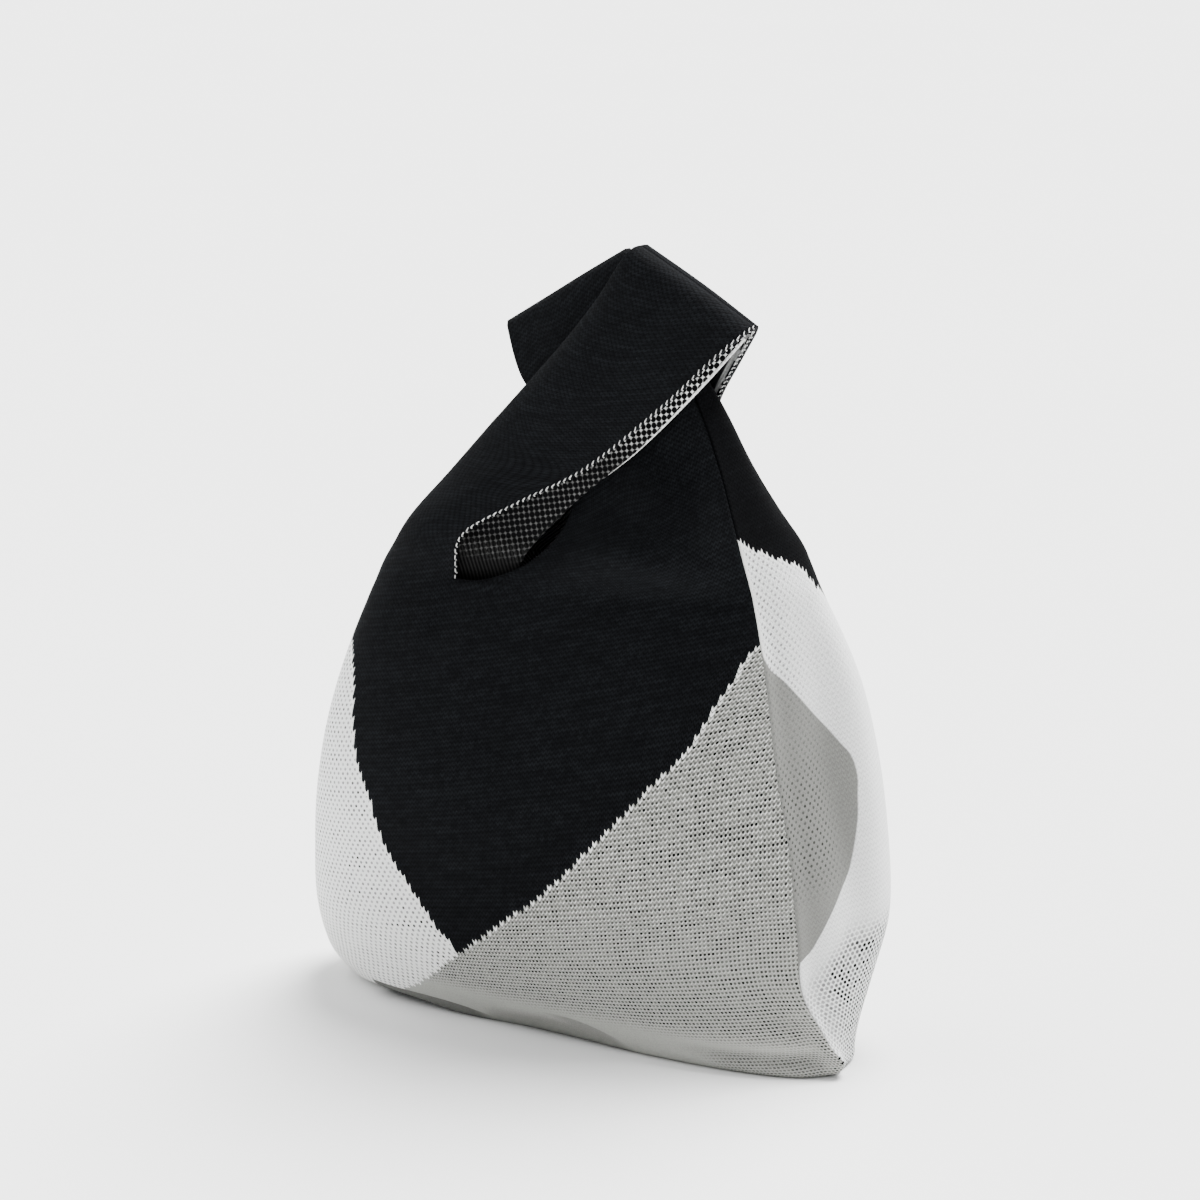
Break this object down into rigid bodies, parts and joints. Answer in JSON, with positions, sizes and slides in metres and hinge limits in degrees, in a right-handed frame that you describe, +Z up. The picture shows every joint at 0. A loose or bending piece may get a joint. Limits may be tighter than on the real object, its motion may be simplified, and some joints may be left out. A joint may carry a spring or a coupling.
{
  "type": "knitted knot bag",
  "caption": "Seamed knitted handbag with two wide straps, the right strap's loop threaded through the left strap's loop to close it",
  "frame": {"origin": "middle of the bag's bounding box, on the surface that it stands on", "axes": "+X from the left side seam to the right, +Y from the front panel to the back panel, +Z up"},
  "size_m": [0.2062, 0.093, 0.2582],
  "materials": {
    "knit_colour_block": "matte double-bed jacquard knit in black, white and grey blocks",
    "knit_black": "matte double-bed knit, fine ribs",
    "knit_reverse": "reverse of the knit, black dots in a light lattice",
    "linking_yarn_white": "matte twisted yarn",
    "linking_yarn_black": "matte twisted yarn"
  },
  "bodies": {
    "bag": {"front_panel": "knit_colour_block", "back_panel": "knit_colour_block", "left_strap_root": "knit_black", "right_strap_root": "knit_black", "left_side_seam": "linking_yarn_white", "right_side_seam": "linking_yarn_white", "bottom_seam": "linking_yarn_white", "left_corner_tack": "linking_yarn_white", "right_corner_tack": "linking_yarn_black"},
    "left_loop": {"left_strap_front": "knit_black", "left_strap_back": "knit_black", "left_strap_seam": "linking_yarn_black", "left_strap_facing": "knit_reverse"},
    "right_loop": {"right_strap_front": "knit_black", "right_strap_back": "knit_black", "right_strap_seam": "linking_yarn_black"}
  },
  "joints": [
    {"name": "loops_flop", "type": "hinge", "parent": "bag", "child": "left_loop", "pos_m": [0, -0.003, 0.172], "axis": [1, 0, 0], "range_deg": [-40, 45], "deforming": ["left_strap_root", "right_strap_root", "left_strap_facing"]},
    {"name": "right_loop_slide", "type": "slide", "parent": "left_loop", "child": "right_loop", "axis": [-0.6, 0, 0.8], "range_m": [-0.015, 0.008]}
  ]
}
